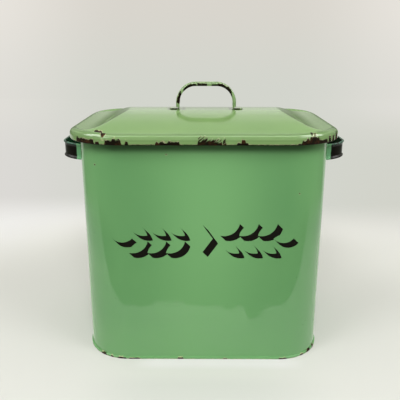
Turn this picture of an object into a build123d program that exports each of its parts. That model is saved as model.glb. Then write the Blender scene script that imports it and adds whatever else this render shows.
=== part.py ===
from build123d import *
import math
import os

# Enamelled steel bread bin with a lift-off lid. Millimetres, +Z up, front towards -Y.
# The origin is the middle of the base, at the height of the surface it stands on.

# Sheet and clearances
SHEET = 0.9             # steel sheet with enamel on both sides
JOINT_GAP = 0.05        # between pieces that are folded, curled or welded together
SEAT_GAP = 0.3          # between the lid's underside and the body's rim

# Body
BODY_LENGTH = 296.6
BODY_DEPTH = 215.6
BODY_CORNER = 54.0
BODY_WIRE = 4.0         # diameter of the wire in the body's curled rim

# Base and its folded seam
FLOOR_HEIGHT = 4.0      # underside of the floor above the table
FOOT_FLANGE = 0.6       # the wall's bottom flange, which the base folds round
SEAM_ROUND = 0.4

# Lid, which stands out past the body all round
LID_OVERHANG = 11.7
LID_EDGE_HEIGHT = 274.0
LID_FLANGE = 9.7        # height of the upright edge up to its shoulder
LID_SHOULDER = 3.0      # radius over the shoulder
LID_WIRE = 2.4          # diameter of the wire in the lid's curled edge
LEDGE_WIDTH = 29.0      # from the lid's edge to the foot of the dome
LEDGE_RISE = 1.8        # the ledge rises this much from the shoulder to the dome
DOME_RISE = 14.5
DOME_END_RUN = 33.5     # how far in each sloped end reaches the crest
DOME_ROOT = 2.5         # the dome's block starts this far down inside the ledge
HIP_ROUND = 16.0        # radius along the creases between the vault and the ends
DOME_FOOT_ROUND = 8.0   # hollow radius where the dome leaves the ledge

# Strap handles, all of one pressed strap with curled edges
STRAP_WIDTH = 20.0
STRAP_WEB = 1.2
STRAP_BEAD = 3.6        # diameter of the curled edges
TAB_LENGTH = 12.0       # from the inner face of the arm to the tab's end
TAB_BEND = 3.0

SIDE_SPAN = 90.0
SIDE_REACH = 29.15      # from the back of the tabs
SIDE_ROUND = 19.0
SIDE_HEIGHT = 251.15    # middle of the strap above the table

LID_HANDLE_SPAN = 76.4
LID_HANDLE_REACH = 34.2
LID_HANDLE_ROUND = 25.0
LID_HANDLE_SHIFT = 3.0  # the handle sits this far right of the lid's middle

# Heights and sections that follow from the sizes above
LID_LENGTH = BODY_LENGTH + 2 * LID_OVERHANG
LID_DEPTH = BODY_DEPTH + 2 * LID_OVERHANG
DOME_LENGTH = LID_LENGTH - 2 * LEDGE_WIDTH
DOME_DEPTH = LID_DEPTH - 2 * LEDGE_WIDTH
SHOULDER_HEIGHT = LID_EDGE_HEIGHT + LID_FLANGE
LEDGE_TOP = SHOULDER_HEIGHT + LEDGE_RISE
CREST_HEIGHT = LEDGE_TOP + DOME_RISE
VAULT_RADIUS = ((DOME_DEPTH / 2) ** 2 + DOME_RISE ** 2) / (2 * DOME_RISE)
END_SLOPE = math.atan2(DOME_RISE, DOME_END_RUN)
LEDGE_TILT = math.atan2(LEDGE_RISE, LEDGE_WIDTH - LID_SHOULDER)

BODY_CURL = BODY_WIRE / 2 + JOINT_GAP + SHEET   # outer radius of the body's rim
LID_CURL = LID_WIRE / 2 + JOINT_GAP + SHEET     # outer radius of the lid's edge
LID_CURL_HEIGHT = LID_EDGE_HEIGHT + LID_CURL

# The rim's curl stands outside the wall, and the lid's ledge rests over its crown
RIM_OUT = BODY_CURL - SHEET
RIM_FROM_SHOULDER = LID_OVERHANG - RIM_OUT - LID_SHOULDER
LEDGE_OVER_RIM = SHOULDER_HEIGHT + RIM_FROM_SHOULDER * math.tan(LEDGE_TILT) - SHEET
RIM_HEIGHT = LEDGE_OVER_RIM - (BODY_CURL + SEAT_GAP) / math.cos(LEDGE_TILT)


def body_outline(grow=0.0):
    """The body's plan, moved out by grow."""
    return RectangleRounded(BODY_LENGTH + 2 * grow, BODY_DEPTH + 2 * grow, BODY_CORNER + grow)


def run_round(section, grow=0.0):
    """Carries a section round the body's plan.

    The section's x is measured outward from the body's plan moved out by grow, its y upward.
    """
    path = body_outline(grow).wire()
    up = Vector(0, 0, 1)
    outward = (path % 0).cross(up)
    start = Plane(origin=path @ 0, x_dir=outward, z_dir=outward.cross(up))
    return sweep(start * section, path=path)


def body_wall():
    """The wrapped wall, flanged at the foot and curled out round a wire at the top."""
    foot = SHEET + JOINT_GAP
    meets_curl = RIM_HEIGHT - math.sqrt(BODY_CURL ** 2 - RIM_OUT ** 2)
    outline = Polyline((-SHEET, RIM_HEIGHT), (-SHEET, foot), (FOOT_FLANGE, foot),
                       (FOOT_FLANGE, foot + SHEET), (0, foot + SHEET), (0, meets_curl))
    over = ThreePointArc((0, meets_curl), (RIM_OUT + BODY_CURL, RIM_HEIGHT),
                         (-SHEET, RIM_HEIGHT))
    wire_bore = Pos(RIM_OUT, RIM_HEIGHT) * Circle(BODY_CURL - SHEET)
    return run_round(make_face(outline + over) - wire_bore)


def body_rim_wire():
    return run_round(Pos(RIM_OUT, RIM_HEIGHT) * Circle(BODY_WIRE / 2))


def base_pan():
    """The raised floor, whose edge goes down inside the wall and folds up round its flange."""
    skirt_out = -SHEET - JOINT_GAP
    skirt_in = skirt_out - SHEET
    lip_in = FOOT_FLANGE + JOINT_GAP
    lip_out = lip_in + SHEET
    hook_under = 2 * SHEET + 2 * JOINT_GAP
    hook_top = hook_under + SHEET
    floor_top = FLOOR_HEIGHT + SHEET
    seam = make_face(Polyline(
        (skirt_in, 0), (lip_out, 0), (lip_out, hook_top), (JOINT_GAP, hook_top),
        (JOINT_GAP, hook_under), (lip_in, hook_under), (lip_in, SHEET), (skirt_out, SHEET),
        (skirt_out, floor_top), (skirt_in, floor_top), close=True))
    outer_corners = seam.vertices().group_by(Axis.X)[-1]
    seam = fillet(outer_corners, SEAM_ROUND)
    floor = Pos(0, 0, FLOOR_HEIGHT) * extrude(body_outline(skirt_in), SHEET)
    return run_round(seam) + floor


def lid_outline(drop=0.0):
    """The lid's plan, moved in by drop."""
    return body_outline(LID_OVERHANG - drop)


def vaulted_dome(drop):
    """A barrel vault with two sloped ends, its surfaces moved in by drop."""
    low = LEDGE_TOP - drop - DOME_ROOT
    axis_height = CREST_HEIGHT - VAULT_RADIUS
    vault = Pos(0, 0, axis_height) * Rot(0, 90, 0) * Cylinder(VAULT_RADIUS - drop, LID_LENGTH)
    foot_half = DOME_LENGTH / 2 - drop / math.sin(END_SLOPE)
    half_at_low = foot_half + (LEDGE_TOP - low) / math.tan(END_SLOPE)
    peak = low + half_at_low * math.tan(END_SLOPE)
    ends = Plane.XZ * make_face(Polyline((-half_at_low, low), (half_at_low, low), (0, peak),
                                         close=True))
    dome = vault & extrude(ends, LID_DEPTH, both=True)
    hips = [edge for edge in dome.edges() if edge.bounding_box().size.Z > DOME_RISE]
    return fillet(hips, HIP_ROUND - drop)


def dome_foot_edges(form, drop):
    """The ring of edges where the dome leaves the ledge: they lie within the ledge's rise."""
    above = SHOULDER_HEIGHT - drop + LEDGE_RISE / 4
    below = LEDGE_TOP - drop + LEDGE_RISE / 4
    return [edge for edge in form.edges()
            if edge.bounding_box().min.Z > above and edge.bounding_box().max.Z < below]


def lid_form(drop):
    """The lid above its curled edge as a solid block, every face moved in by drop."""
    low = LID_CURL_HEIGHT + LID_CURL - drop
    high = SHOULDER_HEIGHT - drop
    edge = Pos(0, 0, low) * extrude(lid_outline(drop), high - low)
    edge = fillet(edge.edges().group_by(Axis.Z)[-1], LID_SHOULDER - drop)
    # The ledge runs on a little under the dome, so that the two cross cleanly
    under = LID_SHOULDER
    ledge_foot = Pos(0, 0, high) * lid_outline(LID_SHOULDER)
    ledge_head = Pos(0, 0, high + LEDGE_RISE + math.tan(LEDGE_TILT) * under) * RectangleRounded(
        DOME_LENGTH - 2 * under, DOME_DEPTH - 2 * under, HIP_ROUND)
    ledge = loft([ledge_foot, ledge_head], ruled=True)
    form = edge + ledge + vaulted_dome(drop)
    return fillet(dome_foot_edges(form, drop), DOME_FOOT_ROUND + drop)


def lid_edge():
    """The lower part of the lid's flange, curled in round a wire."""
    middle = LID_CURL_HEIGHT
    meets_curl = middle + math.sqrt(LID_CURL ** 2 - (LID_CURL - SHEET) ** 2)
    top = middle + LID_CURL
    outline = Polyline((-SHEET, meets_curl), (-SHEET, top), (0, top), (0, middle))
    under = ThreePointArc((0, middle), (-2 * LID_CURL, middle), (-SHEET, meets_curl))
    wire_bore = Pos(-LID_CURL, middle) * Circle(LID_CURL - SHEET)
    return run_round(make_face(outline + under) - wire_bore, LID_OVERHANG)


def lid_shell():
    """The pressed lid."""
    return lid_form(0) - lid_form(SHEET) + lid_edge()


def lid_rim_wire():
    return run_round(Pos(-LID_CURL, LID_CURL_HEIGHT) * Circle(LID_WIRE / 2), LID_OVERHANG)


def strap_handle(span, reach, corner):
    """A strap handle standing on z = 0, spanning X, its width along Y.

    Its inner face is flush. Both edges are curled outward, and its ends turn out into tabs.
    """
    half = span / 2 - STRAP_BEAD
    top = reach - STRAP_BEAD
    inner_corner = corner - STRAP_BEAD
    tab_end = half + TAB_LENGTH
    inner_line = FilletPolyline(
        (-tab_end, 0, 0), (-half, 0, 0), (-half, 0, top),
        (half, 0, top), (half, 0, 0), (tab_end, 0, 0),
        radius=[TAB_BEND, inner_corner, inner_corner, TAB_BEND])
    web_section = Plane(origin=inner_line @ 0, z_dir=inner_line % 0, x_dir=(0, 1, 0)) * Pos(
        0, STRAP_WEB / 2) * Rectangle(STRAP_WIDTH - STRAP_BEAD, STRAP_WEB)
    handle = sweep(web_section, path=inner_line)

    out = STRAP_BEAD / 2
    bead_line = FilletPolyline(
        (-half - out, 0, SEAT_GAP), (-half - out, 0, top + out),
        (half + out, 0, top + out), (half + out, 0, SEAT_GAP),
        radius=inner_corner + out)
    for side in (-1, 1):
        path = Pos(0, side * (STRAP_WIDTH - STRAP_BEAD) / 2, 0) * bead_line
        section = Plane(origin=path @ 0, z_dir=path % 0) * Circle(STRAP_BEAD / 2)
        handle += sweep(section, path=path)
    return handle


def side_handle(side):
    """A handle welded to the flat of an end wall: side is -1 for left, 1 for right."""
    wall = Plane(origin=(side * (BODY_LENGTH / 2 + JOINT_GAP), 0, SIDE_HEIGHT),
                 x_dir=(0, 1, 0), z_dir=(side, 0, 0))
    return wall * strap_handle(SIDE_SPAN, SIDE_REACH, SIDE_ROUND)


def lid_handle():
    """The same strap, welded along the crest of the lid's vault."""
    crest = Pos(LID_HANDLE_SHIFT, 0, CREST_HEIGHT + JOINT_GAP)
    return crest * strap_handle(LID_HANDLE_SPAN, LID_HANDLE_REACH, LID_HANDLE_ROUND)


parts = {
    "body_wall": body_wall(),
    "body_rim_wire": body_rim_wire(),
    "base_pan": base_pan(),
    "side_handle_left": side_handle(-1),
    "side_handle_right": side_handle(1),
    "lid_shell": lid_shell(),
    "lid_rim_wire": lid_rim_wire(),
    "lid_handle": lid_handle(),
}

os.makedirs("parts", exist_ok=True)
for name, shape in parts.items():
    export_step(shape, f"parts/{name}.step")
    size = shape.bounding_box().size
    print(f"{name}: {size.X:.1f} x {size.Y:.1f} x {size.Z:.1f} mm, {shape.volume:.0f} mm3")
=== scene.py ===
import math

import bpy
import numpy as np
from mathutils import Matrix, Vector, geometry, noise


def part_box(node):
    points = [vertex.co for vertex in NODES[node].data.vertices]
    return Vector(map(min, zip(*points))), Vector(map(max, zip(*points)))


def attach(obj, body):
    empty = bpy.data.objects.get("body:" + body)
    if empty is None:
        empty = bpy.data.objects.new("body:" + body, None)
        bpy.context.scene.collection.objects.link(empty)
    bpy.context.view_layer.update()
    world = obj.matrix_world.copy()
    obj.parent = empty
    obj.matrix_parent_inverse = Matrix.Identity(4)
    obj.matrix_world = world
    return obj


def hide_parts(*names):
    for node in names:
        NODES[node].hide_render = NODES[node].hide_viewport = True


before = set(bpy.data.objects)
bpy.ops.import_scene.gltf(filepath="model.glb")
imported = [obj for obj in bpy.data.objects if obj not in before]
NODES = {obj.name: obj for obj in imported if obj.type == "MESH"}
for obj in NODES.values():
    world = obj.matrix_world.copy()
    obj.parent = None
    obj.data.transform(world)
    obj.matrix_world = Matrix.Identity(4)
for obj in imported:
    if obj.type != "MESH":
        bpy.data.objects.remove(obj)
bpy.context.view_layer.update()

# An upright enamelled bread bin, seen a little from above. Metres, +Z up, front towards -Y.

MM = 0.001


def node_size(node):
    """The size of a node's box."""
    low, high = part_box(node)
    return high - low


# Sizes of the sheet and of the body, as the bin is made
SHEET = 0.9 * MM
JOINT_GAP = 0.05 * MM
BODY_CORNER = 54.0 * MM
FOOT_FLANGE = 0.6 * MM
LAP_HALF = 4.0 * MM
LAP_HEIGHT = 0.3 * MM
LAP_BELOW_RIM = 8.0 * MM
FOOT_FOLD = 0.25 * MM
FLOOR_LEVEL = 4.5 * MM
# How far the wall and the lid bulge and dent
WALL_SWELL = 0.30 * MM
WALL_RIPPLE = 0.07 * MM
LID_SWELL = 0.2 * MM

# Sizes of the lid: the roll round its edge, the valley behind it and the dome
LID_OVERHANG = 11.7 * MM
ROLL_WIDTH = 7.0 * MM
ROLL_HEIGHT = 6.3 * MM
ROLL_RISE = 0.3 * MM
ROLL_FOOT = 16.0 * MM
ROLL_BLEND = 0.6 * MM
CORNER_LIFT = 1.5 * MM
LIFT_FROM = (92.0 * MM, 55.0 * MM)
LIFT_OVER = (40.0 * MM, 30.0 * MM)
VALLEY_DROP = 3.0 * MM
LEDGE_WIDTH = 29.0 * MM
DOME_RISE = 14.5 * MM
DOME_CORNER = 14.0 * MM
CREST_HALF = 96.5 * MM
CREST_BLEND = 1.3 * MM
END_SLOPE = 0.45
END_FOOT_RISE = 0.5 * MM
END_BLEND = 5.0 * MM

# Sizes of the strap handles
STRAP_WIDTH = 20.0 * MM
STRAP_WEB = 1.2 * MM
STRAP_BEAD = 3.6 * MM
TAB_LENGTH = 12.0 * MM
TAB_BEND = 3.0 * MM
TAB_ROUND = 4.0 * MM
TAB_NARROWER = 0.8 * MM
# Above the tab, the strap's edges curl up over this stretch
CURL_START = 0.4 * MM
CURL_STRETCH = 3.0 * MM
SIDE_ROUND = 22.0 * MM
SIDE_BEAD = 2.6 * MM
SIDE_LIFT = 3.4 * MM
LID_HANDLE_ROUND = 25.0 * MM
LID_HANDLE_LOWER = 0.9 * MM
LID_BEAD = 4.4 * MM

# Sizes that the frame gives
LID_LOW, LID_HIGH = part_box("lid_shell")
WALL_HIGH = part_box("body_wall")[1]
LID_LENGTH = LID_HIGH.x - LID_LOW.x
LID_DEPTH = LID_HIGH.y - LID_LOW.y
BODY_LENGTH = LID_LENGTH - 2 * LID_OVERHANG
BODY_DEPTH = LID_DEPTH - 2 * LID_OVERHANG
LID_CORNER = BODY_CORNER + LID_OVERHANG
CREST = LID_HIGH.z
LEDGE_TOP = CREST - DOME_RISE
ROLL_TOP = LEDGE_TOP + ROLL_RISE
FLANGE_TOP = ROLL_TOP - ROLL_HEIGHT
DOME_LENGTH = LID_LENGTH - 2 * LEDGE_WIDTH
DOME_DEPTH = LID_DEPTH - 2 * LEDGE_WIDTH
VAULT_RADIUS = ((DOME_DEPTH / 2) ** 2 + DOME_RISE ** 2) / (2 * DOME_RISE)
BODY_CURL = node_size("body_rim_wire").z / 2 + JOINT_GAP + SHEET
LID_CURL = node_size("lid_rim_wire").z / 2 + JOINT_GAP + SHEET
RIM_HEIGHT = WALL_HIGH.z - BODY_CURL
RIM_OUT = BODY_CURL - SHEET
LID_CURL_HEIGHT = LID_LOW.z + LID_CURL
SIDE_LOW, SIDE_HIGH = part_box("side_handle_left")
SIDE_MIDDLE = (SIDE_LOW.z + SIDE_HIGH.z) / 2
SIDE_REACH = SIDE_HIGH.x - SIDE_LOW.x
SIDE_SPAN = SIDE_HIGH.y - SIDE_LOW.y - 2 * (TAB_LENGTH - STRAP_BEAD)
HANDLE_LOW, HANDLE_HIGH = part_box("lid_handle")
HANDLE_SPAN = HANDLE_HIGH.x - HANDLE_LOW.x - 2 * (TAB_LENGTH - STRAP_BEAD)
HANDLE_MIDDLE = (HANDLE_LOW.x + HANDLE_HIGH.x) / 2
HANDLE_REACH = HANDLE_HIGH.z - HANDLE_LOW.z - LID_HANDLE_LOWER


# Shader arithmetic

class Paint:
    """Builds the nodes of a material or of the world."""

    def __init__(self, owner):
        self.owner = owner
        owner.use_nodes = True
        self.tree = owner.node_tree
        self.tree.nodes.clear()

    def add(self, kind, settings=None, inputs=None, output=0):
        """Adds a node, sets its settings first and then its sockets, and returns one output."""
        node = self.tree.nodes.new(kind)
        for key, value in (settings or {}).items():
            setattr(node, key, value)
        for key, value in (inputs or {}).items():
            socket = node.inputs[key]
            if isinstance(value, Value):
                self.tree.links.new(value.socket, socket)
            else:
                socket.default_value = value
        return Value(self, node.outputs[output]) if node.outputs else None

    def noise(self, place, size, detail=3.0, roughness=0.5):
        """Noise between about 0 and 1, whose lumps are as large as size, in metres."""
        return self.add("ShaderNodeTexNoise", {"noise_dimensions": "3D"},
                        {"Vector": place, "Scale": 1.0 / size, "Detail": detail,
                         "Roughness": roughness})

    def place(self):
        """The point on the piece, in the row frame at rest."""
        return self.add("ShaderNodeTexCoord", output="Object")

    def axes(self, place):
        """The three coordinates of a point or a direction."""
        parts = self.add("ShaderNodeSeparateXYZ", inputs={"Vector": place})
        return [Value(self, parts.socket.node.outputs[i]) for i in range(3)]

    def mix(self, share, first, second):
        """A colour between two others: the first where share is 0, the second where it is 1."""
        return self.add("ShaderNodeMix", {"data_type": "RGBA", "clamp_factor": True},
                        {0: share, 6: first, 7: second}, output=2)

    def bump(self, height, distance, under=None):
        """Relief of that depth in metres, over the relief under it."""
        inputs = {"Height": height, "Distance": distance, "Strength": 1.0}
        if under is not None:
            inputs["Normal"] = under
        return self.add("ShaderNodeBump", inputs=inputs)

    def surface(self, **sockets):
        """The finished surface: varying values are linked, constants set on the socket."""
        names = {"colour": "Base Color", "roughness": "Roughness", "metal": "Metallic",
                 "normal": "Normal", "ior": "IOR"}
        shader = self.add("ShaderNodeBsdfPrincipled",
                          inputs={names[key]: value for key, value in sockets.items()})
        self.add("ShaderNodeOutputMaterial", inputs={"Surface": shader})
        return self.owner


class Value:
    """An output socket that Python's operators work on."""

    def __init__(self, paint, socket):
        self.paint = paint
        self.socket = socket

    def math(self, operation, *others):
        """A Math node with this value first and the others after it."""
        values = dict(enumerate((self, *others)))
        return self.paint.add("ShaderNodeMath", {"operation": operation}, values)

    def __add__(self, other):
        return self.math("ADD", other)

    __radd__ = __add__

    def __sub__(self, other):
        return self.math("SUBTRACT", other)

    def __rsub__(self, other):
        return self.paint.add("ShaderNodeMath", {"operation": "SUBTRACT"}, {0: other, 1: self})

    def __mul__(self, other):
        return self.math("MULTIPLY", other)

    __rmul__ = __mul__

    def __truediv__(self, other):
        return self.math("DIVIDE", other)

    def __abs__(self):
        return self.math("ABSOLUTE")

    def __or__(self, other):
        """The larger of two values, which joins two masks."""
        return self.math("MAXIMUM", other)

    def __and__(self, other):
        """The smaller of two values, which keeps what two masks share."""
        return self.math("MINIMUM", other)

    def step(self, start, end):
        """0 up to start, 1 from end on, and smooth between. It falls where end is less."""
        return self.paint.add(
            "ShaderNodeMapRange", {"interpolation_type": "SMOOTHSTEP", "clamp": True},
            {"Value": self, "From Min": start, "From Max": end, "To Min": 0.0, "To Max": 1.0})


def new_paint(name):
    """The nodes of a new material."""
    return Paint(bpy.data.materials.new(name))


def largest(values):
    """The largest of several values, which joins as many masks."""
    found, *others = values
    for other in others:
        found = found | other
    return found


def srgb(red, green, blue):
    """A colour written as 0 to 255, in linear light."""
    def linear(value):
        value /= 255.0
        return value / 12.92 if value <= 0.04045 else ((value + 0.055) / 1.055) ** 2.4
    return (linear(red), linear(green), linear(blue), 1.0)


# Materials

BODY_GREEN = srgb(115, 171, 110)
BODY_GREEN_DEEP = srgb(111, 167, 108)
BODY_GREEN_PAINTED_LIGHT = srgb(131, 189, 124)
BODY_PAINTED_SHADE = srgb(58, 92, 56)
LID_GREEN = srgb(128, 161, 102)
LID_GREEN_WORN = srgb(124, 157, 100)
LID_GREEN_SHADED = srgb(102, 134, 80)
LID_GREEN_EDGE = srgb(135, 170, 107)
LID_TAB_DARK = srgb(30, 34, 18)
LOOP_GREEN = srgb(122, 150, 100)
LOOP_GREEN_PALE = srgb(142, 170, 120)
LOOP_UNDERSIDE_PAINTED_LIGHT = srgb(200, 218, 176)
STRAP_GREEN = srgb(140, 202, 152)
STRAP_INSIDE_SHADE = srgb(12, 66, 42)
STRAP_INSIDE_DEEPER_SHADE = srgb(16, 34, 24)
ENAMEL_BLACK = srgb(20, 17, 12)
ENAMEL_BLACK_WORN = srgb(48, 36, 26)
BEAD_GREY = srgb(74, 112, 94)
INNER_WHITE = srgb(222, 226, 220)
INNER_WHITE_DULL = srgb(214, 217, 208)
BARE_IRON = srgb(34, 27, 15)
WIRE_GREY = srgb(96, 92, 88)
RUST = srgb(80, 50, 30)
RUST_PALE = srgb(122, 92, 60)
GROUND_COAT = srgb(206, 200, 160)
ENAMEL_IOR = 1.5
GRIP_IOR = 1.33


def rusty(paint, place, red):
    """The colour of bare steel where the enamel has gone, as rusty as red says."""
    patches = paint.noise(place, 4.5 * MM, detail=4)
    grains = paint.noise(place, 0.8 * MM, detail=3)
    brown = paint.mix(patches.step(0.48, 0.68) * red, BARE_IRON, RUST)
    return paint.mix(grains.step(0.64, 0.75) * red, brown, RUST_PALE)


def glaze(paint, place, enamel, depth, gloss=0.07, red=1.0, wave=0.12, pale=0.8):
    """Enamel of that colour, broken away to the steel where depth is over 0 metres.

    gloss is its roughness and wave its unevenness in millimetres. red says how rusty the
    steel is, and pale how far the ground coat shows round the chips.
    """
    fine = paint.noise(place, 3 * MM, detail=3)
    pinholes = paint.noise(place, 2.2 * MM, detail=1).step(0.81, 0.835)
    lost = depth.step(0.0, 0.3 * MM)
    pale_parts = paint.noise(place, 6 * MM, detail=2).step(0.40, 0.55)
    rim = depth.step(-0.8 * MM, -0.3 * MM) * pale_parts
    coat = paint.mix(pinholes * 0.75, enamel, BARE_IRON)
    coat = paint.mix(rim * pale, coat, GROUND_COAT)
    coat = paint.mix(lost, coat, rusty(paint, place, red))
    handling = paint.noise(place, 25 * MM, detail=4)
    roughness = gloss + handling.step(0.45, 0.8) * 0.05 + lost * 0.65
    ripple = paint.noise(place, 22 * MM, detail=2, roughness=0.4)
    relief = paint.bump(ripple, wave * MM)
    relief = paint.bump(fine, 0.008 * MM, under=relief)
    relief = paint.bump(1.0 - depth.step(-0.3 * MM, 0.3 * MM), 0.25 * MM, under=relief)
    return paint.surface(colour=coat, roughness=roughness, metal=lost * 0.85, normal=relief,
                         ior=ENAMEL_IOR)


def along(value, places, soft=0.9 * MM):
    """How high a row of chips reaches: each chip is its start, its end and its height."""
    chips = []
    for start, end, height in places:
        middle = (start + end) / 2 * MM
        half = (end - start) / 2 * MM
        chips.append(abs(value - middle).step(half + soft, half - soft) * (height * MM))
    return largest(chips)


# Chips along the lid's front edge: from x to x and how high they reach, in millimetres
LID_CHIPS = [(-144, -121, 6.0), (-119.5, -114.5, 4.4), (-108.5, -99, 6.8), (-100.5, -90, 7.4),
             (-86, -82.5, 6.0), (-53, -26, 4.4), (36, 49, 3.2), (41, 46, 6.6),
             (103, 112, 3.0), (107, 116, 5.4), (112, 128, 7.8), (116, 126, 10.0), (127, 139, 4.6),
             (140, 143.5, 8.0), (145.5, 148.5, 8.4), (150.5, 154.5, 9.6)]
# Cracked patch near the middle of the front edge, broken into slanting streaks
LID_STREAKS = [(-6.5, 5, 10.4), (4, 20, 8.2), (21, 24.5, 8.4)]
# Chips on the lid, longer from front to back: x, y and radius across
LID_SPOTS = [(118.6, -110.4, 1.5), (-122.0, -93.0, 2.9), (-118.0, -95.0, 3.2),
             (-110.4, -111.5, 3.0)]
# Chips round the foot of the body: from x to x and how high they reach
FOOT_CHIPS = [(-130, -123, 3.0), (-117, -113.5, 2.4), (-108, -97, 2.2), (-93, -80, 1.8),
              (-32, -25, 2.6), (25, 30, 1.4), (95, 105, 2.0), (123, 127.5, 2.4),
              (132.5, 138, 3.2), (141, 144, 3.4)]
# Specks on the front of the body: x, z and radius
BODY_SPECKS = [(-124.5, 248.0, 1.0), (110.0, 216.0, 0.9), (-42.0, 262.0, 0.8)]
# The tabs of the lid's handle: from x to x, and half their width
LID_TABS = [(-44.0, -25.5), (34.5, 48.5)]
TAB_HALF = 10.4


def spots(x, y, places, ragged, stretch=1.0):
    """How deep inside small chips with uneven rims a point is, stretched along y."""
    chips = []
    for spot_x, spot_y, radius in places:
        away_x = x - spot_x * MM
        away_y = (y - spot_y * MM) / stretch
        distance = (away_x * away_x + away_y * away_y).math("SQRT") + ragged
        chips.append(radius * MM - distance)
    return largest(chips)


def where(mask, value):
    """The value where mask is 1, and a metre less where it is 0."""
    return value - (1.0 - mask)


def lid_enamel():
    """Yellow-green enamel, chipped along the lid's curled edge, darker round the handle's tabs.
    """
    paint = new_paint("lid_enamel")
    place = paint.place()
    x, y, z = paint.axes(place)
    inset = from_edge(x, y)
    # How far up from the edge a point is, rising fast past the roll
    rise = z - LID_LOW.z + ((inset - 6 * MM) | 0.0) * 4.0
    coarse = paint.noise(place, 5 * MM, detail=5, roughness=0.65) - 0.5
    teeth = paint.noise(place, 1.5 * MM, detail=3) - 0.5
    front = y.step(-60 * MM, -75 * MM)
    elsewhere = paint.noise(place, 38 * MM, detail=3).step(0.52, 0.66) * (4.5 * MM)
    reach = (along(x, LID_CHIPS) * front) | (elsewhere * (1.0 - front))
    reach = reach | (1.3 * MM)
    depth = reach * (1.0 + coarse * 2.2) + teeth * (1.4 * MM) - rise - 0.3 * MM
    # The cracked patch
    sheared = paint.add("ShaderNodeCombineXYZ", inputs={"X": x - rise * 1.1, "Z": rise * 0.25})
    streak = paint.noise(sheared, 1.9 * MM, detail=2) - 0.5
    streaks = along(x, LID_STREAKS) * front * ((0.74 + streak * 2.4) & 1.0) - rise
    depth = depth | (streaks + teeth * (0.6 * MM))
    # Chips further up
    high = rise.step(4 * MM, 5 * MM)
    depth = depth | where(high, spots(x, y, LID_SPOTS, coarse * (2.0 * MM), stretch=1.8))
    # The enamel's colour, with painted shade in the crease and on the roll's shoulder
    cloud = paint.noise(place, 70 * MM, detail=2)
    enamel = paint.mix(cloud.step(0.3, 0.7), LID_GREEN, LID_GREEN_WORN)
    crease = inset.step(2.3 * MM, 3.0 * MM) & inset.step(9.5 * MM, 7.5 * MM)
    enamel = paint.mix(crease * 0.85, enamel, LID_GREEN_SHADED)
    shoulder = inset.step(1.9 * MM, 1.4 * MM) & inset.step(0.1 * MM, 0.9 * MM)
    enamel = paint.mix(shoulder * 0.45, enamel, LID_GREEN_SHADED)
    enamel = paint.mix(z.step(FLANGE_TOP, FLANGE_TOP - 2 * MM), enamel, LID_GREEN_EDGE)
    # Darker in a ring round the handle's tabs
    tab_dark = tab_darkening(x, y) * z.step(CREST - 6 * MM, CREST - 4 * MM)
    smudge = paint.noise(place, 4 * MM, detail=3).step(0.25, 0.6)
    enamel = paint.mix(tab_dark * smudge, enamel, LID_TAB_DARK)
    return glaze(paint, place, enamel, depth, wave=0.02)


def from_edge(x, y):
    """Distance from the lid's outline inward, right as far in as its corners' centres."""
    over_x = (abs(x) - (LID_LENGTH / 2 - LID_CORNER)) | 0.0
    over_y = (abs(y) - (LID_DEPTH / 2 - LID_CORNER)) | 0.0
    return LID_CORNER - (over_x * over_x + over_y * over_y).math("SQRT")


def tab_darkening(x, y):
    """A darker ring round the two tabs of the lid's handle."""
    rings = []
    for start, end in LID_TABS:
        over_x = abs(x - (start + end) / 2 * MM) - (end - start) / 2 * MM
        over_y = abs(y) - TAB_HALF * MM
        rings.append(abs(over_x | over_y).step(2.7 * MM, 0.9 * MM))
    return largest(rings)


def foot_depth(paint, place):
    """How deep inside the chips round the foot a point is."""
    x, y, z = paint.axes(place)
    coarse = paint.noise(place, 4 * MM, detail=5, roughness=0.65) - 0.5
    teeth = paint.noise(place, 1.5 * MM, detail=3) - 0.5
    front = y.step(-50 * MM, -60 * MM)
    elsewhere = paint.noise(place, 30 * MM, detail=3).step(0.56, 0.66) * (2.0 * MM)
    reach = (along(x, FOOT_CHIPS) * front) | (elsewhere * (1.0 - front))
    return reach * (1.0 + coarse * 1.5) + teeth * (0.8 * MM) - z


def body_enamel():
    """Mid-green enamel, with thin chips at the foot and a few specks on the front.

    It has painted light in the middle of each long side and a painted highlight high up
    where the wall turns, and painted shade under the lid.
    """
    paint = new_paint("body_enamel")
    place = paint.place()
    x, y, z = paint.axes(place)
    coarse = paint.noise(place, 4 * MM, detail=5, roughness=0.65) - 0.5
    front = y.step(-60 * MM, -75 * MM)
    depth = foot_depth(paint, place)
    depth = depth | where(front, spots(x, z, BODY_SPECKS, coarse * (1.0 * MM)))
    cloud = paint.noise(place, 90 * MM, detail=2)
    aside = abs(x - 4 * MM)
    # Painted light: the enamel is paler in the middle of each long side
    painted_light_middle = aside.step(95 * MM, 5 * MM) * z.step(-60 * MM, 190 * MM)
    enamel = paint.mix(cloud.step(0.3, 0.7), BODY_GREEN, BODY_GREEN_DEEP)
    # Painted highlight: paler high up where the wall turns
    painted_highlight_turn = abs(x).step(95 * MM, 135 * MM) * z.step(160 * MM, 215 * MM)
    enamel = paint.mix(painted_light_middle | (painted_highlight_turn * 0.65), enamel, BODY_GREEN_PAINTED_LIGHT)
    # Painted shade: a darker band just under the lid's edge, where its shadow falls
    painted_shade_under_lid = z.step(262 * MM, 268 * MM) * aside.step(122 * MM, 104 * MM)
    enamel = paint.mix(painted_shade_under_lid * 0.35, enamel, BODY_PAINTED_SHADE)
    return glaze(paint, place, enamel, depth, wave=0.25)


def inner_enamel():
    """Off-white enamel for the inside."""
    paint = new_paint("inner_enamel")
    place = paint.place()
    specks = paint.noise(place, 5 * MM, detail=4) - 0.80
    cloud = paint.noise(place, 50 * MM, detail=3)
    enamel = paint.mix(cloud.step(0.3, 0.7), INNER_WHITE, INNER_WHITE_DULL)
    return glaze(paint, place, enamel, specks * (20 * MM), gloss=0.12)


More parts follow.
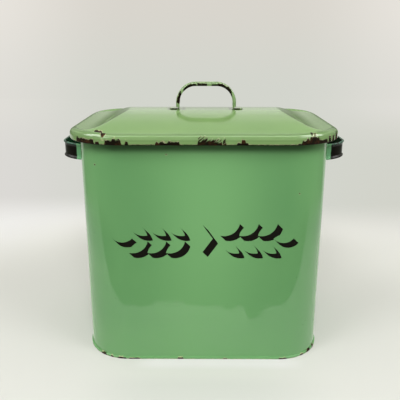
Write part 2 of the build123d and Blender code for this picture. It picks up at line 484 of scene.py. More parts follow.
def black_enamel():
    """Black enamel for the ornament."""
    paint = new_paint("black_enamel")
    place = paint.place()
    bald = paint.noise(place, 7 * MM, detail=4).step(0.72, 0.76)
    fine = paint.noise(place, 2 * MM, detail=2)
    colour = paint.mix(bald * 0.4, ENAMEL_BLACK, ENAMEL_BLACK_WORN)
    return paint.surface(colour=colour, roughness=0.16 + bald * 0.3,
                         normal=paint.bump(fine, 0.01 * MM), ior=ENAMEL_IOR)


def side_handle_enamel():
    """Black enamel on the grip's outside, painted shade in dark green inside it, pale green near
    the wall.
    """
    paint = new_paint("side_handle_enamel")
    place = paint.place()
    x, y, z = paint.axes(place)
    facing = paint.add("ShaderNodeTexCoord", output="Normal")
    face_x, face_y = paint.axes(facing)[:2]
    inward = (face_x * x.math("SIGN")) & (face_y * y.math("SIGN"))
    inside = inward.step(-0.35, -0.6)
    out = abs(x) - BODY_LENGTH / 2
    wobble = (paint.noise(place, 9 * MM, detail=3) - 0.5) * (1.2 * MM)
    black = (out + wobble).step(9.0 * MM, 9.5 * MM)
    level = z - SIDE_MIDDLE - out * (SIDE_LIFT / SIDE_REACH)
    crown = level.step(STRAP_WIDTH / 2 - 2.2 * MM, STRAP_WIDTH / 2 - 1.0 * MM)
    crown = crown * paint.noise(place, 8 * MM, detail=3).step(0.35, 0.5)
    scuffs = paint.noise(place, 5 * MM, detail=5, roughness=0.6).step(0.68, 0.74)
    fine = paint.noise(place, 2.5 * MM, detail=3)
    grip = paint.mix(crown, ENAMEL_BLACK, BEAD_GREY)
    colour = paint.mix(black, STRAP_GREEN, grip)
    # Painted shade: faces inside the loop are dark green, darker still on the right-hand handle
    inner = paint.mix(x.step(0.0, 1 * MM), STRAP_INSIDE_SHADE, STRAP_INSIDE_DEEPER_SHADE)
    colour = paint.mix(inside, colour, inner)
    colour = paint.mix(scuffs * 0.6, colour, RUST)
    roughness = 0.20 + black * 0.14 + scuffs * 0.4
    relief = paint.bump(fine, 0.03 * MM)
    relief = paint.bump(1.0 - scuffs, 0.1 * MM, under=relief)
    return paint.surface(colour=colour, roughness=roughness, normal=relief,
                         ior=GRIP_IOR)


# Where the enamel has gone from the lid's handle: from x to x and how far out it has gone
LOOP_WEAR = [(-36, -28.6, 3.9), (-25.5, -9, 3.4), (-8, 4.2, 4.0), (10, 22, 2.7), (18, 35.5, 4.0)]


def lid_handle_enamel():
    """Lid enamel that has worn through to dark steel along the inside of the loop."""
    paint = new_paint("lid_handle_enamel")
    place = paint.place()
    x, y, z = paint.axes(place)
    cloud = paint.noise(place, 12 * MM, detail=2)
    enamel = paint.mix(cloud.step(0.35, 0.65), LOOP_GREEN, LOOP_GREEN_PALE)
    # Painted light: faces that look down are made pale, standing in for light on the shaded
    # underside
    facing = paint.add("ShaderNodeTexCoord", output="Normal")
    face_z = paint.axes(facing)[2]
    enamel = paint.mix(face_z.step(-0.2, -0.7), enamel, LOOP_UNDERSIDE_PAINTED_LIGHT)
    # The long edges of the tabs are bare too, short of the right tab's end
    edge = (abs(y) - 7.6 * MM) & (HANDLE_LOW.z + 1.3 * MM - z) & (46.5 * MM - x)
    return glaze(paint, place, enamel, loop_depth(paint, place) | edge, red=0.15, pale=0.2)


def loop_depth(paint, place):
    """How deep inside the wear of the loop a point is, told by its distance from the inside."""
    x, y, z = paint.axes(place)
    half = HANDLE_SPAN / 2 - LID_HANDLE_ROUND
    shoulder = HANDLE_LOW.z + HANDLE_REACH - LID_HANDLE_ROUND
    over = (abs(x - HANDLE_MIDDLE) - half) | 0.0
    up = (z - shoulder) | 0.0
    outward = (over * over + up * up).math("SQRT") - (LID_HANDLE_ROUND - LID_BEAD)
    coarse = paint.noise(place, 3.5 * MM, detail=4) - 0.5
    low = z.step(CREST + 6.5 * MM, CREST + 8 * MM)
    reach = along(x, LOOP_WEAR, soft=0.5 * MM) * low
    middle = ((7 * MM - abs(y)) | 0.0) * 0.7
    return reach * (1.0 + coarse * 1.2) - outward - 0.2 * MM - middle


def wire_steel():
    """Plain steel wire, dulled."""
    paint = new_paint("wire_steel")
    place = paint.place()
    patches = paint.noise(place, 6 * MM, detail=4)
    colour = paint.mix(patches.step(0.4, 0.7), WIRE_GREY, RUST)
    return paint.surface(colour=colour, roughness=0.45 + patches * 0.2, metal=0.8)


def base_enamel():
    """The seam and the underside are green, the floor inside is off-white."""
    paint = new_paint("base_enamel")
    place = paint.place()
    z = paint.axes(place)[2]
    inside = z.step(FLOOR_LEVEL - 0.1 * MM, FLOOR_LEVEL + 0.1 * MM)
    enamel = paint.mix(inside, BODY_GREEN, INNER_WHITE)
    return glaze(paint, place, enamel, foot_depth(paint, place))


# Meshes

def new_mesh(name, points, faces, materials, material_of=None, smooth=True):
    """A mesh object from points and faces."""
    mesh = bpy.data.meshes.new(name)
    mesh.from_pydata([tuple(point) for point in points], [], faces)
    for material in materials:
        mesh.materials.append(material)
    if material_of is not None:
        mesh.polygons.foreach_set("material_index", material_of)
    mesh.polygons.foreach_set("use_smooth", [smooth] * len(mesh.polygons))
    mesh.validate()
    piece = bpy.data.objects.new(name, mesh)
    bpy.context.scene.collection.objects.link(piece)
    return piece


def grid_faces(rows, columns, close_rows=False):
    """Quads between rows of points, each row closed on itself."""
    faces = []
    last = rows if close_rows else rows - 1
    for row in range(last):
        here = row * columns
        above = (row + 1) % rows * columns
        for column in range(columns):
            beside = (column + 1) % columns
            faces.append((here + column, here + beside, above + beside, above + column))
    return faces


def eased(share):
    """A share from 0 to 1, eased at both ends."""
    return share * share * (3 - 2 * share)


def plan_line(length, depth, corner, spacing=4 * MM, corner_steps=26):
    """Points counterclockwise round a rounded rectangle, with their outward directions."""
    half_x = length / 2 - corner
    half_y = depth / 2 - corner
    centres = [(half_x, half_y, 0.0), (-half_x, half_y, 90.0),
               (-half_x, -half_y, 180.0), (half_x, -half_y, 270.0)]
    points = []
    for index, (cx, cy, start) in enumerate(centres):
        for step in range(corner_steps + 1):
            angle = math.radians(start + 90.0 * step / corner_steps)
            points.append((cx + corner * math.cos(angle), cy + corner * math.sin(angle),
                           math.cos(angle), math.sin(angle)))
        nx, ny = points[-1][2:]
        next_x, next_y, _ = centres[(index + 1) % 4]
        end = (next_x + corner * nx, next_y + corner * ny)
        begin = points[-1][:2]
        count = max(2, round(math.dist(begin, end) / spacing))
        for step in range(1, count):
            share = step / count
            points.append((begin[0] + (end[0] - begin[0]) * share,
                           begin[1] + (end[1] - begin[1]) * share, nx, ny))
    return np.array(points)


def sheet_swell(x, y, z):
    """The wall's slight unevenness, outward, which dies away towards the foot and the rim."""
    broad = noise.noise(Vector((x * 9.0 + 3.1, y * 9.0 + 1.7, z * 9.0)))
    ripple = noise.noise(Vector((x * 26.0 + 7.9, y * 26.0, z * 26.0 + 4.4)))
    fade = min(1.0, z / (25 * MM), (RIM_HEIGHT - z) / (20 * MM))
    return (WALL_SWELL * broad + WALL_RIPPLE * ripple) * max(0.0, fade)


def wall_profile():
    """Outward distance and height round the wall's section, up the outside first."""
    foot = SHEET + JOINT_GAP
    meets_curl = RIM_HEIGHT - math.sqrt(BODY_CURL ** 2 - RIM_OUT ** 2)
    outside = [(-SHEET, foot), (FOOT_FLANGE, foot), (FOOT_FLANGE, foot + SHEET),
               (FOOT_FOLD, foot + SHEET), (0.0, foot + SHEET + FOOT_FOLD)]
    outside += [(0.0, z) for z in np.linspace(foot + 3 * MM, meets_curl - 0.5 * MM, 84)]
    start = math.atan2(meets_curl - RIM_HEIGHT, -RIM_OUT)
    turn = [start + (math.pi - start) * share for share in np.linspace(0, 1, 28)]
    curl = [(RIM_OUT + BODY_CURL * math.cos(a), RIM_HEIGHT + BODY_CURL * math.sin(a))
            for a in turn]
    inside = [(-SHEET, z) for z in np.linspace(RIM_HEIGHT - 1 * MM, foot + 1 * MM, 60)]
    return outside, curl, inside


def body_wall_sheet(outer_material, inner_material):
    """The wrapped wall with its curl, slightly uneven, with a lapped seam down the back."""
    line = plan_line(BODY_LENGTH, BODY_DEPTH, BODY_CORNER)
    outside, curl, inside = wall_profile()
    profile = outside + curl + inside
    points = []
    for out, z in profile:
        for x, y, nx, ny in line:
            push = out + sheet_swell(x, y, z)
            if y > 0 and abs(x) < LAP_HALF and out >= 0 and z < RIM_HEIGHT - LAP_BELOW_RIM:
                push += LAP_HEIGHT
            points.append((x + nx * push, y + ny * push, z))
    columns = len(line)
    faces = grid_faces(len(profile), columns, close_rows=True)
    white_from = (len(outside) + len(curl) - 1) * columns
    material_of = [1 if index >= white_from else 0 for index in range(len(faces))]
    return new_mesh("body_wall_sheet", points, faces, [outer_material, inner_material],
                    material_of)


def round_box(x, y, length, depth, corner):
    """Signed distance to a rounded rectangle, negative inside."""
    qx = np.abs(x) - (length / 2 - corner)
    qy = np.abs(y) - (depth / 2 - corner)
    outside = np.hypot(np.maximum(qx, 0.0), np.maximum(qy, 0.0))
    return outside + np.minimum(np.maximum(qx, qy), 0.0) - corner


def soft_min(a, b, blend):
    """The lesser of two heights, rounded where they cross."""
    share = np.clip(0.5 + 0.5 * (b - a) / blend, 0.0, 1.0)
    return b * (1 - share) + a * share - blend * share * (1 - share)


def lid_height(x, y, drop):
    """Height of the lid's top, or of its underside when drop is the sheet's thickness."""
    axis = CREST - VAULT_RADIUS
    vault = axis + np.sqrt((VAULT_RADIUS - drop) ** 2 - y ** 2)
    dome = soft_min(vault, end_height(x, drop), CREST_BLEND)
    inside = -round_box(x, y, LID_LENGTH, LID_DEPTH, LID_CORNER)
    to_dome = np.maximum(round_box(x, y, DOME_LENGTH, DOME_DEPTH, DOME_CORNER), 0.0)
    past_roll = np.maximum(inside - ROLL_FOOT, 0.0)
    share = past_roll / np.maximum(past_roll + to_dome, 1e-6)
    ledge = LEDGE_TOP - VALLEY_DROP * (1 - share) - drop
    fall = eased(np.clip((inside - ROLL_WIDTH) / (ROLL_FOOT - ROLL_WIDTH), 0.0, 1.0))
    roll = (ROLL_TOP + corner_lift(x, y) - drop) * (1 - fall) + ledge * fall
    return -soft_min(-roll, -dome, ROLL_BLEND)


def end_height(x, drop):
    """Height of the lid's end slopes, which run out flat towards the roll."""
    foot = LEDGE_TOP + END_FOOT_RISE - drop
    slope = CREST - (np.abs(x) - CREST_HALF) * END_SLOPE - drop * math.hypot(1, END_SLOPE)
    return -soft_min(-slope, -foot, END_BLEND)


def corner_lift(x, y):
    """How much higher the roll stands at the corners."""
    share_x = np.clip((np.abs(x) - LIFT_FROM[0]) / LIFT_OVER[0], 0.0, 1.0)
    share_y = np.clip((np.abs(y) - LIFT_FROM[1]) / LIFT_OVER[1], 0.0, 1.0)
    return CORNER_LIFT * eased(share_x * share_y)


def roll_rows(drop):
    """Distance inside the lid's outline and height, over the roll from its top to the flange."""
    wide = ROLL_WIDTH - drop
    high = ROLL_HEIGHT - drop
    return [(ROLL_WIDTH - wide * math.cos(a), FLANGE_TOP + high * math.sin(a))
            for a in np.linspace(math.pi / 2, 0, 16)]


def lid_edge_profile():
    """From the roll over the flange and round the curl, then back up to the roll's underside."""
    outer = [(-inset, z) for inset, z in roll_rows(0.0)]
    flange = [(0.0, z) for z in np.linspace(FLANGE_TOP, LID_CURL_HEIGHT, 8)[1:]]
    inner = LID_CURL - SHEET
    meets = math.acos(inner / LID_CURL)
    turn = np.linspace(0, -2 * math.pi + meets, 26)
    curl = [(-LID_CURL + LID_CURL * math.cos(a), LID_CURL_HEIGHT + LID_CURL * math.sin(a))
            for a in turn[1:]]
    meets_height = LID_CURL_HEIGHT + LID_CURL * math.sin(meets)
    inside = [(-SHEET, z) for z in np.linspace(meets_height, FLANGE_TOP, 6)[1:-1]]
    under = [(-inset, z) for inset, z in roll_rows(SHEET)[::-1]]
    return outer + flange + curl, inside + under


def lid_sheet(outer_material, inner_material):
    """The pressed lid: a vault with sloped ends, a valley and a roll, its edge curled in."""
    flat = plan_line(LID_LENGTH - 2 * ROLL_FOOT, LID_DEPTH - 2 * ROLL_FOOT,
                     LID_CORNER - ROLL_FOOT, spacing=3 * MM, corner_steps=32)
    columns = len(flat)
    shares = np.linspace(0.02, 1.0, 100)
    insets = np.linspace(ROLL_FOOT, ROLL_WIDTH, 12)[1:-1]
    upper, lower = lid_edge_profile()
    rows = [flat_row(flat, share, 0.0) for share in shares]
    rows += [inset_row(flat, inset, 0.0) for inset in insets]
    rows += [offset_row(flat, out, z) for out, z in upper]
    white_from = len(rows) * columns
    rows += [offset_row(flat, out, z) for out, z in lower]
    rows += [inset_row(flat, inset, SHEET) for inset in insets[::-1]]
    rows += [flat_row(flat, share, SHEET) for share in shares[::-1]]
    points = np.vstack(rows)
    faces = [face[::-1] for face in grid_faces(len(rows), columns)]
    material_of = [1 if index >= white_from else 0 for index in range(len(faces))] + [0, 1]
    # One face closes the middle of the outside, the other that of the underside
    faces.append(tuple(range(columns)))
    faces.append(tuple(range(len(points) - 1, len(points) - columns - 1, -1)))
    return new_mesh("lid_pressing", points, faces, [outer_material, inner_material],
                    material_of)


def flat_row(line, share, drop):
    """Points of the lid's flat part, the share of the way from its middle to the line."""
    return raised(line[:, 0] * share, line[:, 1] * share, drop)


def inset_row(line, inset, drop):
    """Points of the lid that far inside its outline."""
    grow = ROLL_FOOT - inset
    return raised(line[:, 0] + line[:, 2] * grow, line[:, 1] + line[:, 3] * grow, drop)


def offset_row(line, out, z):
    """Points of the lid's edge, that far outside its outline and at that height."""
    grow = ROLL_FOOT + out
    x = line[:, 0] + line[:, 2] * grow
    y = line[:, 1] + line[:, 3] * grow
    share = min(1.0, max(0.0, (z - FLANGE_TOP) / ROLL_HEIGHT))
    return np.column_stack([x, y, z + corner_lift(x, y) * share])


def raised(x, y, drop):
    """Points at the lid's height, slightly uneven."""
    z = lid_height(x, y, drop)
    dent = np.array([lid_dent(px, py) for px, py in zip(x, y)])
    return np.column_stack([x, y, z + dent])


def lid_dent(x, y):
    """Shallow unevenness of the lid, none at its edge."""
    inside = -float(round_box(np.array(x), np.array(y), LID_LENGTH, LID_DEPTH, LID_CORNER))
    fade = min(1.0, max(0.0, (inside - ROLL_WIDTH) / DOME_CORNER))
    broad = noise.noise(Vector((x * 14.0 + 5.3, y * 14.0 + 2.2, 0.4)))
    return LID_SWELL * fade * broad


# Strap handles

def strap_line(span, reach, corner, bead):
    """Points and directions of travel along a handle's inner face."""
    half = span / 2 - bead
    top = reach - bead
    inner = corner - bead
    end = span / 2 - STRAP_BEAD + TAB_LENGTH
    line = [(x, 0.0, 1.0, 0.0) for x in np.linspace(-end, -half - TAB_BEND, 10)]
    line += arc((-half - TAB_BEND, TAB_BEND), TAB_BEND, -90, 0, 10)
    line += [(-half, z, 0.0, 1.0) for z in np.linspace(TAB_BEND, top - inner, 8)[1:]]
    line += arc((-half + inner, top - inner), inner, 180, 90, 24)
    line += [(x, top, 1.0, 0.0) for x in np.linspace(-half + inner, 0.0, 10)[1:]]
    mirrored = [(-x, z, dx, -dz) for x, z, dx, dz in line[-2::-1]]
    return line + mirrored


def arc(centre, radius, start, end, steps):
    """Points of an arc after its first, with their directions of travel."""
    points = []
    sign = 1.0 if end > start else -1.0
    for step in range(1, steps + 1):
        angle = math.radians(start + (end - start) * step / steps)
        points.append((centre[0] + radius * math.cos(angle), centre[1] + radius * math.sin(angle),
                       -sign * math.sin(angle), sign * math.cos(angle)))
    return points


def strap_section(bead, half_width):
    """The strap's section: width and distance outward, its edges curled to radius bead."""
    reach = half_width - bead
    turn = 180.0 - math.degrees(math.asin(max(-1.0, min(1.0, (STRAP_WEB - bead) / bead))))
    edge = [(reach + bead * math.cos(math.radians(a)), bead + bead * math.sin(math.radians(a)))
            for a in np.linspace(-90, turn, 18)]
    web_in = [(w, 0.0) for w in np.linspace(-reach, reach, 8)[1:-1]]
    web_out = [(w, STRAP_WEB) for w in np.linspace(reach, -reach, 10)[2:-2]]
    other = [(-w, t) for w, t in edge[::-1]]
    return web_in + edge + web_out + other


def strap_handle(name, span, reach, corner, bead_height, place, material):
    """A strap bent to a loop, its curled edges flattening into rounded tabs.

    place turns the way along the handle, across it and outward into a point.
    """
    line = strap_line(span, reach, corner, bead_height)
    points = []
    for x, z, dx, dz in line:
        curled = eased(min(1.0, max(0.0, (z - CURL_START) / CURL_STRETCH)))
        bead = STRAP_WEB / 2 + (bead_height - STRAP_WEB) / 2 * curled
        half_width = STRAP_WIDTH / 2 - (1 - curled) * TAB_NARROWER
        to_end = span / 2 - STRAP_BEAD + TAB_LENGTH - abs(x)
        if to_end < TAB_ROUND:
            half_width -= TAB_ROUND - math.sqrt(TAB_ROUND ** 2 - (TAB_ROUND - to_end) ** 2)
        for width, out in strap_section(bead, half_width):
            points.append(place(x - dz * out, width, z + dx * out))
    columns = len(points) // len(line)
    faces = grid_faces(len(line), columns)
    faces.append(tuple(range(columns))[::-1])
    faces.append(tuple(range(len(points) - columns, len(points))))
    return new_mesh(name, points, faces, [material])


# Front ornament

# Where the shade of a raised shape falls
SHADE = Vector((6.2 * MM, -6.0 * MM))
ORNAMENT_MIDDLE = Vector((-1.0 * MM, 161.5 * MM))
ORNAMENT_THICKNESS = 0.16 * MM
ORNAMENT_SUNK = 0.02 * MM
LOZENGE_HALF = Vector((12.0 * MM, 17.0 * MM))
# An ear: pairs of leaning grains along its stalk, and one straight grain at the tip
PAIRS = 3
FIRST_PAIR = 32.0 * MM
PAIR_SPACING = 22.0 * MM
GRAIN_ASIDE = 11.0 * MM
GRAIN_LEAN = math.radians(33)
GRAIN_SIZE = (27.0 * MM, 11.5 * MM)
TIP = 95.0 * MM
TIP_SIZE = (24.0 * MM, 10.5 * MM)
GRAIN_STEPS = 12
SAME_POINT = 1e-7


def counterclockwise(polygon):
    """The polygon's corners, put in counterclockwise order."""
    area = sum(a.x * b.y - b.x * a.y for a, b in zip(polygon, polygon[1:] + polygon[:1]))
    return polygon if area > 0 else polygon[::-1]


def grain(centre, lean, length, width):
    """A pointed oval, leaning by that angle."""
    half = length / 2
    radius = (half ** 2 + (width / 2) ** 2) / width
    sweep = math.asin(half / radius)
    points = []
    for side in (1, -1):
        for step in range(GRAIN_STEPS):
            a = -sweep + 2 * sweep * step / GRAIN_STEPS
            point = Vector((side * radius * math.sin(a),
                            side * (radius * math.cos(a) - radius + width / 2)))
            point.rotate(Matrix.Rotation(lean, 2))
            points.append(centre + point)
    return counterclockwise(points)


def ornament_shapes():
    """Two ears of grain that point left and right from a lozenge."""
    corners = [(1, 0), (0, 1), (-1, 0), (0, -1)]
    shapes = [[ORNAMENT_MIDDLE + LOZENGE_HALF * Vector(corner) for corner in corners]]
    for side in (-1, 1):
        for index in range(PAIRS):
            for half in (-1, 1):
                out = FIRST_PAIR + PAIR_SPACING * index
                centre = Vector((side * out, half * GRAIN_ASIDE))
                lean = GRAIN_LEAN * side * half
                shapes.append(grain(ORNAMENT_MIDDLE + centre, lean, *GRAIN_SIZE))
        shapes.append(grain(ORNAMENT_MIDDLE + Vector((side * TIP, 0)), 0.0, *TIP_SIZE))
    return shapes


def shade_of(shape):
    """The quads that a shape's outline sweeps along the shade's direction."""
    quads = []
    for a, b in zip(shape, shape[1:] + shape[:1]):
        outward = Vector((b.y - a.y, a.x - b.x))
        if outward.dot(SHADE) > 0:
            quads.append(counterclockwise([a, b, b + SHADE, a + SHADE]))
    return quads


def holds(polygon, point):
    """Whether a convex polygon holds a point."""
    return all((b - a).cross(point - a) > 0 for a, b in zip(polygon, polygon[1:] + polygon[:1]))


def front_wall(x, z):
    """Where the front of the wall is at that width and height."""
    flat = BODY_LENGTH / 2 - BODY_CORNER
    over = max(0.0, abs(x) - flat)
    back = BODY_CORNER - math.sqrt(BODY_CORNER ** 2 - over ** 2)
    y = -BODY_DEPTH / 2 + back
    return y - sheet_swell(x, y, z)


def shaded_triangles():
    """Points and triangles of the shade beside the shapes, but not under them."""
    shapes = ornament_shapes()
    polygons = list(shapes)
    for shape in shapes:
        polygons += shade_of(shape)
    corners = []
    faces = []
    for polygon in polygons:
        faces.append(list(range(len(corners), len(corners) + len(polygon))))
        corners += polygon
    # Output type 1 gives the triangles inside the polygons
    found = geometry.delaunay_2d_cdt(corners, [], faces, 1, SAME_POINT)
    points = found[0]
    triangles = []
    for triangle in found[2]:
        middle = sum((points[i] for i in triangle), Vector((0, 0))) / 3
        shaded = any(holds(polygon, middle) for polygon in polygons[len(shapes):])
        if shaded and not any(holds(shape, middle) for shape in shapes):
            triangles.append(triangle)
    return points, triangles


def front_ornament(material):
    """The ornament as a thin black skin. Only the shade of its shapes is drawn."""
    points, triangles = shaded_triangles()
    count = len(points)
    solid = [(p.x, front_wall(p.x, p.y) - ORNAMENT_THICKNESS, p.y) for p in points]
    solid += [(p.x, front_wall(p.x, p.y) + ORNAMENT_SUNK, p.y) for p in points]
    faces = [tuple(triangle) for triangle in triangles]
    faces += [tuple(corner + count for corner in triangle[::-1]) for triangle in triangles]
    # An edge without a triangle on its other side gets a narrow side face
    edges = [edge for a, b, c in triangles for edge in ((a, b), (b, c), (c, a))]
    shared = set(edges)
    for a, b in edges:
        if (b, a) not in shared:
            faces.append((b, a, a + count, b + count))
    return new_mesh("front_ornament", solid, faces, [material], smooth=False)


# Stage, light and camera

# The table's lit paper round the object
PAPER = srgb(218, 217, 214)
PAPER_SHADED = srgb(217, 216, 213)
PAPER_PAINTED_LIGHT_BAND = srgb(232, 231, 228)
PAPER_PAINTED_SHADE_IN_FRONT = srgb(211, 211, 208)
PAPER_PAINTED_LIGHT_AT_FOOT = srgb(229, 226, 228)
PAPER_IN_BOUNCES = srgb(176, 176, 170)
PAPER_MIRRORED = srgb(244, 246, 239)
# The floor farther out, as the camera sees it
FLOOR_LEFT = srgb(219, 217, 213)
FLOOR_RIGHT = srgb(210, 211, 202)
FLOOR_FAR = srgb(224, 222, 216)
BAND_LEFT = srgb(240, 239, 235)
BAND_RIGHT = srgb(231, 230, 223)
# The backdrop as the camera sees it, in its middle and at its sides
MIDDLE_LOW = srgb(211, 213, 205)
MIDDLE_HIGH = srgb(217, 213, 205)
SIDES_LOW = srgb(223, 221, 215)
SIDES_HIGH = srgb(233, 229, 222)
# The backdrop and the room as light from them falls on the pieces
BACK_LOW = srgb(160, 163, 156)
BACK_HIGH = srgb(222, 222, 214)
ROOM_DIM = srgb(90, 92, 86)
# The floor, the backdrop and the room as the enamel mirrors them
MIRRORED_FLOOR = srgb(226, 228, 221)
MIRRORED_FLOOR_SIDES = srgb(124, 136, 116)
MIRRORED_LOW = srgb(196, 198, 191)
MIRRORED_HIGH = srgb(226, 226, 218)
MIRRORED_CEILING = srgb(188, 190, 183)
MIRRORED_SHEEN = srgb(246, 246, 240)
DUSK_LOW = srgb(100, 110, 88)
DUSK_HIGH = srgb(142, 147, 134)

TABLE_FRONT = -0.25
# Where the table's front edge steps in or out: from x, to x, change of its y
FRONT_STEPS = [(-0.076, -0.072, -0.0105), (-0.031, -0.028, 0.0165), (0.029, 0.031, 0.0115),
               (0.048, 0.050, -0.0115), (0.060, 0.063, 0.038), (0.072, 0.104, -0.037)]
FLOOR_REACH = 3.0
# How far in front of the object the darker middle of the floor fans out from
FAN_START = 0.683


def slant(x, y, away=0.001):
    """The distance to the side over the distance ahead, with away added to the second."""
    return abs(x / (abs(y) + away))


def paper_colour(paint, x, y, bright):
    """The lit paper, with a painted band of light, painted shade in front of the object and
    painted light at its foot.
    """
    shade = abs(y - 0.09).step(0.24, 0.06)
    paper = paint.mix(shade, PAPER, PAPER_SHADED)
    # Painted light in a band, painted shade in front of the object and painted light at its foot
    paper = paint.mix(bright * abs(x).step(0.16, 0.34), paper, PAPER_PAINTED_LIGHT_BAND)
    shade_in_front = abs(x).step(0.17, 0.05) * y.step(-0.135, -0.165)
    paper = paint.mix(shade_in_front, paper, PAPER_PAINTED_SHADE_IN_FRONT)
    light_at_foot = abs(x - 0.018).step(0.115, 0.075) * y.step(-0.104, -0.110) * y.step(-0.135, -0.118)
    return paint.mix(light_at_foot, paper, PAPER_PAINTED_LIGHT_AT_FOOT)


def seen_floor(paint, x, y, distance, right, bright):
    """The floor farther out as the camera sees it, with the band of light across it."""
    outer = paint.mix(x.step(0.0, 0.2), FLOOR_LEFT, FLOOR_RIGHT)
    outer = paint.mix(distance.step(1.1, 2.9), outer, FLOOR_FAR)
    floor = paint.mix(slant(x, y, FAN_START).step(0.14, 0.42), MIDDLE_LOW, outer)
    return paint.mix(bright, floor, paint.mix(right, BAND_LEFT, BAND_RIGHT))


def mirrored_floor(paint, x, y, distance):
    """The floor farther out as the enamel mirrors it, dim at the sides."""
    turned = (slant(x, y) - y.step(-0.1, 0.1) * 0.9).step(0.35, 1.0) * distance.step(0.55, 0.9)
    floor = paint.mix(turned, MIRRORED_FLOOR, MIRRORED_FLOOR_SIDES)
    beyond = distance.step(1.8, 2.8) * slant(x, y).step(0.18, 0.30)
    return paint.mix(beyond, floor, DUSK_LOW)


def table_front(x):
    """Where the table's front edge is, at each x."""
    front = TABLE_FRONT
    for start, end, change in FRONT_STEPS:
        front = x.step(start, end) * change + front
    return front


def build_floor():
    """A pale table that fades into the backdrop. Its front edge shows only in reflections."""
    paint = new_paint("table")
    x, y = paint.axes(paint.place())[:2]
    distance = (x * x + y * y).math("SQRT")
    right = x.step(-0.1, 0.1)
    band_left = y.step(0.08, 0.33) * y.step(0.64, 0.38)
    band_right = y.step(0.02, 0.22) * y.step(0.57, 0.30)
    bright = band_left + (band_right - band_left) * right
    seen = paint.add("ShaderNodeLightPath", output="Is Camera Ray")
    mirror = paint.add("ShaderNodeLightPath", output="Is Glossy Ray")
    paper = paper_colour(paint, x, y, bright)
    paper = paint.mix(seen | mirror, PAPER_IN_BOUNCES, paper)
    paper = paint.mix(mirror, paper, PAPER_MIRRORED)
    glow = paint.mix(seen, mirrored_floor(paint, x, y, distance),
                     seen_floor(paint, x, y, distance, right, bright))
    lit = paint.add("ShaderNodeBsdfDiffuse", inputs={"Color": paper})
    glowing = paint.add("ShaderNodeEmission", inputs={"Color": glow, "Strength": 1.0})
    # Beyond the lit paper the table glows, so that no lamp shades it
    far = distance.step(0.38, 0.62)
    both = paint.add("ShaderNodeMixShader", inputs={0: far, 1: lit, 2: glowing})
    clear = paint.add("ShaderNodeBsdfTransparent")
    # In front of its edge the table is clear to all but the camera
    off_table = (y - table_front(x)).step(0.001, 0.0) * (1.0 - seen)
    table = paint.add("ShaderNodeMixShader", inputs={0: off_table, 1: both, 2: clear})
    paint.add("ShaderNodeOutputMaterial", inputs={"Surface": table})
    corners = [(-1, -1), (1, -1), (1, 1), (-1, 1)]
    points = [(a * FLOOR_REACH, b * FLOOR_REACH, 0) for a, b in corners]
    floor = new_mesh("table_top", points, [(0, 1, 2, 3)], [paint.owner], smooth=False)


def mirrored_backdrop(room, x, y, z):
    """The backdrop and the room as the enamel mirrors them, dim at the sides."""
    mirrored = room.mix(z.step(-0.03, 0.12), MIRRORED_LOW, MIRRORED_HIGH)
    mirrored = room.mix(z.step(0.50, 0.60), mirrored, MIRRORED_CEILING)
    sheen = z.step(0.14, 0.20) * z.step(0.44, 0.34)
    mirrored = room.mix(sheen, mirrored, MIRRORED_SHEEN)
    aside = slant(x, y).step(0.13, 0.24) * z.step(0.45, 0.30)
    aside = aside * (1.0 - z.step(0.06, 0.14) * 0.3)
    dusk = room.mix(z.step(-0.02, 0.08), DUSK_LOW, DUSK_HIGH)
    return room.mix(aside, mirrored, dusk)


def seen_backdrop(room, x, y, z):
    """The backdrop as the camera sees it, lighter at the sides."""
    high = z.step(-0.10, 0.09)
    middle = room.mix(high, MIDDLE_LOW, MIDDLE_HIGH)
    sides = room.mix(high, SIDES_LOW, SIDES_HIGH)
    return room.mix(slant(x, y).step(0.14, 0.42), middle, sides)


def build_world():
    """A bright backdrop behind and above, and a dim room low in front."""
    world = bpy.data.worlds.new("room")
    bpy.context.scene.world = world
    room = Paint(world)
    direction = room.add("ShaderNodeTexCoord", output="Generated")
    x, y, z = room.axes(direction)
    back = room.mix(z.step(-0.02, 0.22), BACK_LOW, BACK_HIGH)
    mirror = room.add("ShaderNodeLightPath", output="Is Glossy Ray")
    back = room.mix(mirror, back, mirrored_backdrop(room, x, y, z))
    behind = y.step(-0.45, 0.25)
    above = z.step(0.0, 0.45)
    around = room.mix(behind | above, ROOM_DIM, back)
    seen = room.add("ShaderNodeLightPath", output="Is Camera Ray")
    colour = room.mix(seen, around, seen_backdrop(room, x, y, z))
    light = room.add("ShaderNodeBackground", inputs={"Color": colour, "Strength": 1.0})
    room.add("ShaderNodeOutputWorld", inputs={"Surface": light})


def soft_lamp(name, place, target, size, power, depth=None):
    """A square lamp, or one of that depth, that faces the target. The camera doesn't see it."""
    lamp = bpy.data.lights.new(name, "AREA")
    lamp.shape = "RECTANGLE"
    lamp.size = size
    lamp.size_y = depth or size
    lamp.energy = power
    holder = bpy.data.objects.new(name, lamp)
    holder.location = place
    holder.rotation_euler = (Vector(target) - Vector(place)).to_track_quat("-Z", "Y").to_euler()
    holder.visible_camera = False
    bpy.context.scene.collection.objects.link(holder)
    return holder


# Lamps that give the lid its two glints: place and size
GLINTS = [((-1.05, -0.17, 1.32), 0.52), ((1.05, -0.2, 1.35), 0.60)]
GLINT_POWER = 40.0


def build_lamps():
    """Two windows and a fill light the pieces. The strip and the glints show only in gloss."""
    soft_lamp("left_window", (-1.0, -0.9, 1.6), (0, 0, 0.2), 0.7, 9.0)
    soft_lamp("right_window", (1.1, -0.8, 1.6), (0, 0, 0.2), 0.7, 8.0)
    for place, size in GLINTS:
        power = GLINT_POWER * size ** 2
        glint = soft_lamp("glint", place, (0, 0, 0.28), size, power, depth=size * 1.7)
        glint.visible_diffuse = False
    strip = soft_lamp("strip", (0.0, -0.06, 1.6), (0.0, -0.12, 0.28), 1.4, 7.0, depth=0.22)
    strip.visible_diffuse = False
    fill = soft_lamp("fill", (0.02, -1.10, 1.12), (0.0, 0.0, 0.17), 0.45, 7.0)
    fill.visible_glossy = False


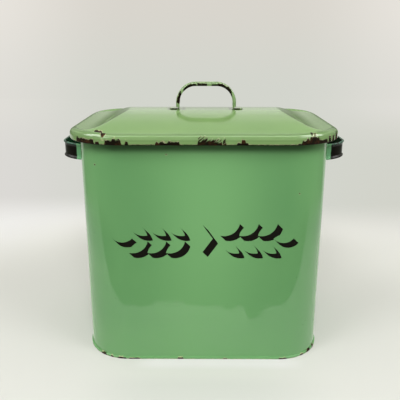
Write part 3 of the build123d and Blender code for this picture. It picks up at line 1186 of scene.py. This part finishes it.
# The camera, as read from the outline in the picture
PICTURE = 400
FOCAL_PIXELS = 524.25
CAMERA_PLACE = (-0.0005, -0.6832, 0.3830)
CAMERA_PITCH = 0.2939
CAMERA_YAW = 0.0062
SENSOR = 36.0


def build_camera():
    """The camera, at the picture's viewing angle."""
    camera = bpy.data.cameras.new("camera")
    camera.sensor_width = SENSOR
    camera.sensor_fit = "HORIZONTAL"
    camera.lens = FOCAL_PIXELS / PICTURE * SENSOR
    holder = bpy.data.objects.new("camera", camera)
    holder.location = CAMERA_PLACE
    holder.rotation_euler = (math.pi / 2 - CAMERA_PITCH, 0.0, CAMERA_YAW)
    bpy.context.scene.collection.objects.link(holder)
    bpy.context.scene.camera = holder


bpy.context.scene.view_settings.view_transform = "Standard"
build_camera()
build_world()
build_floor()
build_lamps()

inner_white = inner_enamel()

wall = body_wall_sheet(body_enamel(), inner_white)
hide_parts("body_wall")
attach(wall, "body")

lid = lid_sheet(lid_enamel(), inner_white)
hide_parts("lid_shell")
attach(lid, "lid")

ornament = front_ornament(black_enamel())
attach(ornament, "body")

grip_black = side_handle_enamel()
for side, node in ((-1, "side_handle_left"), (1, "side_handle_right")):
    base = side * (BODY_LENGTH / 2 + JOINT_GAP)
    handle = strap_handle(
        node.replace("side_handle", "strap"), SIDE_SPAN, SIDE_REACH, SIDE_ROUND, SIDE_BEAD,
        lambda x, width, z: (base + side * z, side * x,
                             SIDE_MIDDLE + width + SIDE_LIFT * z / SIDE_REACH),
        grip_black)
    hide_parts(node)
    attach(handle, "body")

handle = strap_handle(
    "lid_strap", HANDLE_SPAN, HANDLE_REACH, LID_HANDLE_ROUND, LID_BEAD,
    lambda x, width, z: (HANDLE_MIDDLE + x, -width, HANDLE_LOW.z + z),
    lid_handle_enamel())
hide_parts("lid_handle")
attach(handle, "lid")

for node, material in (("base_pan", base_enamel()), ("body_rim_wire", wire_steel()),
                       ("lid_rim_wire", wire_steel())):
    NODES[node].data.materials.clear()
    NODES[node].data.materials.append(material)
